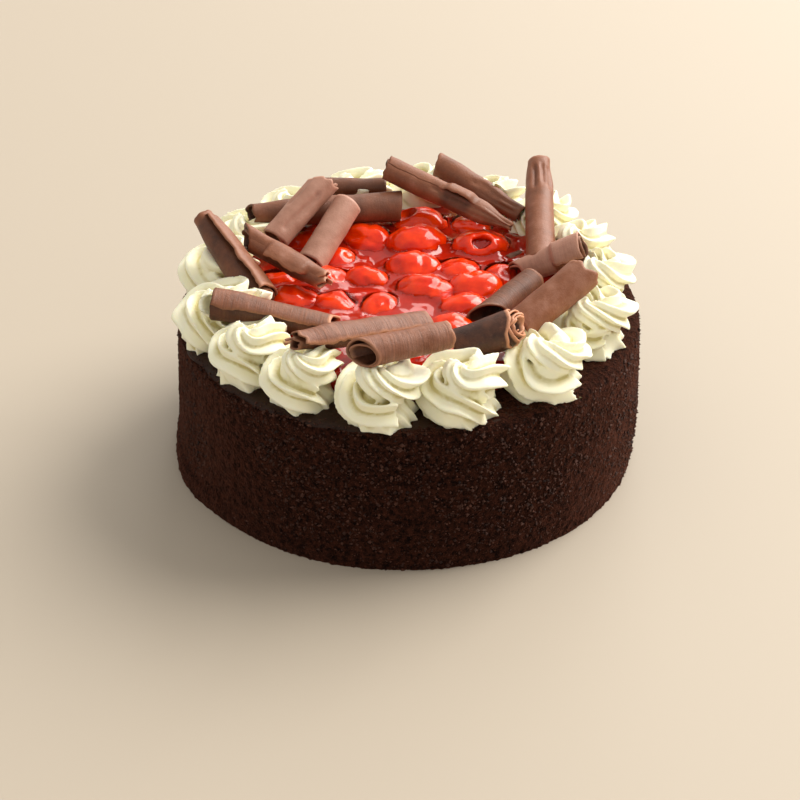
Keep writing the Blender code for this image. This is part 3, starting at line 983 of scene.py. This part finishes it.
def rolled_sheet(
    node,
    finish,
    edge,
    turns=1.4,
    pitch=1.9,
    opened=(2, 2),
    lift=0.6,
    band=(2, 0),
    torn=(1, 1, 0.3),
    slant=(0, 0),
    longer=(0, 0),
    core=(0, 0),
    taper=(0, 0),
    wider=0,
    lower=(0, 0),
    pleats=(),
    tone_and_painted_light=0.45,
    scored=0.12,
    pale=(0.1, 0.1, 0.1),
):
    """One curl: a thin sheet rolled on itself, its ends and its free edge torn."""
    number = int(node[-2:])
    roll = ROLLS[node]
    rows = int(roll.length / SHEET_CELL) + 1
    columns = int(turns * AROUND_CELLS) + 1
    down, round_it = np.linspace(0, 1, rows), np.linspace(0, turns, columns)
    share, rolled = np.meshgrid(down, round_it, indexing="ij")
    around = rolled * 2 * math.pi * roll.start_radius
    angle = math.radians(edge) - 2 * math.pi * rolled

    def rough(x, y, size, seed):
        spot = np.stack([x, y, 0 * x + 0.05 * number], axis=-1)
        return uneven(spot.reshape(-1, 3), size, seed + 10 * number).reshape(x.shape)

    ends = []
    for side in (0, 1):
        rag = rough(0 * around, around, 5 * MM, 5 + side)
        rag = rag + 0.7 * rough(0 * around, around, 1.7 * MM, 7 + side)
        inset = slant[side] * roll.start_radius * (0.3 + np.sin(angle))
        inset = inset + 0.7 * torn[side] * MM * rag
        ends.append(inset - longer[side] * MM - core[side] * MM * rolled)
    along = ends[0] + share * (roll.length - ends[0] - ends[1])
    share = along / roll.length

    gate = ease((share - opened[0]) / 0.06) * ease((opened[1] - share) / 0.06)
    radius = roll.radius_at(share) + SKIN + wider * MM - pitch * MM * rolled
    radius += lift * MM * gate * (1 - ease(rolled / 0.12))
    radius -= (pitch * MM + 0.3 * MM) * (1 - gate) * (1 - ease(rolled / 0.32))
    radius += band[1] * MM * ease((share - band[0]) / 0.03)
    for side, near in ((0, along), (1, roll.length - along)):
        radius -= taper[side] * MM * ease(1 - near / TAPER_REACH)
    radius += 0.3 * MM * rough(along, around, 9 * MM, 1)
    radius += 0.1 * MM * rough(along, around, 3 * MM, 2)
    radius += 0.3 * MM * rough(0.15 * along, around, 6 * MM, 3)
    for turn, depth, first, last in pleats:
        inside = ease((share - first) / 0.08) * ease((last - share) / 0.08)
        off = np.angle(np.exp(1j * (angle - math.radians(turn) - 0.1 * np.sin(7 * share + number))))
        radius -= depth * MM * inside * np.exp(-((off / 0.17) ** 2))
    ragged = rough(along, 0 * along, 6 * MM, 4) + 0.6 * rough(along, 0 * along, 1.8 * MM, 5)
    angle -= (1 - ease(rolled / 0.12)) * torn[2] * MM * ragged / roll.start_radius
    thin = SHEET_THICKNESS * (0.4 + 0.6 * ease(rolled / 0.1))
    thin = thin * (1 + 0.25 * rough(along, around, 5 * MM, 9))
    outer = roll.place(share, angle, radius)
    inner = roll.place(share, angle, radius - thin)
    for skin in (outer, inner):
        skin[..., 2] -= (lower[0] + (lower[1] - lower[0]) * share) * MM
    count = rows * columns
    faces = grid_faces(rows, columns) + grid_faces(rows, columns, first=count)
    index = np.arange(count).reshape(rows, columns)
    for line in (index[0], index[-1], index[:, 0], index[:, -1]):
        line = line.tolist()
        faces += [(a, b, b + count, a + count) for a, b in zip(line[:-1], line[1:])]
    mesh = mesh_of(node, np.vstack([outer.reshape(-1, 3), inner.reshape(-1, 3)]), faces)

    from_left = along - ends[0]
    from_right = roll.length - ends[1] - along
    left_rim = pale[0] * ease(1.4 - from_left / (1.2 * MM))
    right_rim = pale[1] * ease(1.4 - from_right / (1.2 * MM))
    core_rim = pale[1] * ease((along - roll.length + longer[1] * MM) / (1 * MM)) * (rolled > 0.8)
    edge_rim = pale[2] * gate * ease(1.4 - around / (0.8 * MM))
    rim = np.maximum.reduce([left_rim, right_rim, core_rim, edge_rim])
    # Painted shade: the sheet is darker right under the lifted free edge, and its inner face is darker
    # still, where shade falls inside the roll.
    shade_under_edge = gate * ease((rolled - 0.62) / 0.12)
    outside = tone_and_painted_light * (1 - 0.55 * shade_under_edge)
    inside = np.full_like(along, 0.25 * tone_and_painted_light)
    set_share(mesh, "tone_and_painted_light", np.concatenate([outside.ravel(), inside.ravel()]))
    kept = {"pale": rim, "along": along, "around": around, "scored": np.full_like(along, scored)}
    for name, values in kept.items():
        set_share(mesh, name, np.concatenate([values.ravel(), values.ravel()]))
    return show(f"roll_{number:02d}", mesh, finish, "curl", node)


def chip(finish):
    """The small bent flake on the jelly: its solid, smoothed and roughened."""
    mesh = remeshed(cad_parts["curl_chip"].data.copy(), 0.35 * MM, 2)
    points = points_of(mesh)
    points += 0.2 * MM * np.stack([uneven(points, 1.5 * MM, k) for k in range(3)], axis=1)
    set_points(mesh, points)
    set_share(mesh, "tone_and_painted_light", np.full(len(points), 0.35))
    return show("flake", mesh, finish, "curl", "curl_chip")


# ---------------------------------------------------------------- studio


def aimed(name, data, place, aim):
    """A lamp or a camera that looks from its place at its aim."""
    made = bpy.data.objects.new(name, data)
    bpy.context.scene.collection.objects.link(made)
    made.location = place
    made.rotation_euler = (Vector(aim) - Vector(place)).to_track_quat("-Z", "Y").to_euler()
    return made


def lamp(name, place, power):
    """A wide round lamp that lights the cake."""
    light = bpy.data.lights.new(name, "AREA")
    light.shape = "DISK"
    light.size = LAMP_SIZE
    light.energy = power
    light.color = LAMP_COLOUR
    return aimed(name, light, place, (0, 0, 0.06))


def studio():
    """Floor, lights and camera."""
    mesh = bpy.data.meshes.new("floor")
    reach = FLOOR_REACH
    corners = [(-reach, -reach, 0), (reach, -reach, 0), (reach, reach, 0), (-reach, reach, 0)]
    mesh.from_pydata(corners, [], [(0, 1, 2, 3)])
    floor = bpy.data.objects.new("floor", mesh)
    bpy.context.scene.collection.objects.link(floor)
    paint = Finish("floor", Roughness=0.6, Base_Color=(0.46, 0.395, 0.315, 1))
    mesh.materials.append(paint.material)

    lamp("key", (3.0, 1.75, 2.85), KEY_POWER)
    lamp("back", (1.6, 3.7, 2.0), BACK_POWER)
    world = bpy.data.worlds.new("room")
    bpy.context.scene.world = world
    world.use_nodes = True
    room = world.node_tree.nodes["Background"]
    room.inputs["Color"].default_value = (1.0, 0.96, 0.90, 1)
    room.inputs["Strength"].default_value = ROOM_STRENGTH

    data = bpy.data.cameras.new("camera")
    data.lens = CAMERA_LENS
    data.sensor_width = 36
    bpy.context.scene.camera = aimed("camera", data, CAMERA_PLACE, CAMERA_AIM)
    bpy.context.scene.view_settings.view_transform = "Standard"


def main():
    crumb = crumb_finish()
    crumb_coat(crumb)
    loose_crumbs(speck_finish())
    glaze(glaze_finish())
    cream = cream_finish()
    for node in nodes_named("rosette_"):
        rosette(node, cream)
    red = cherry_finish()
    fruit = [cherry(node, red) for node in nodes_named("cherry_")]
    jelly(jelly_finish(), fruit)
    chocolate = curl_finish()
    for node, look in CURLS.items():
        rolled_sheet(node, chocolate, **look)
    chip(chocolate)
    studio()


main()
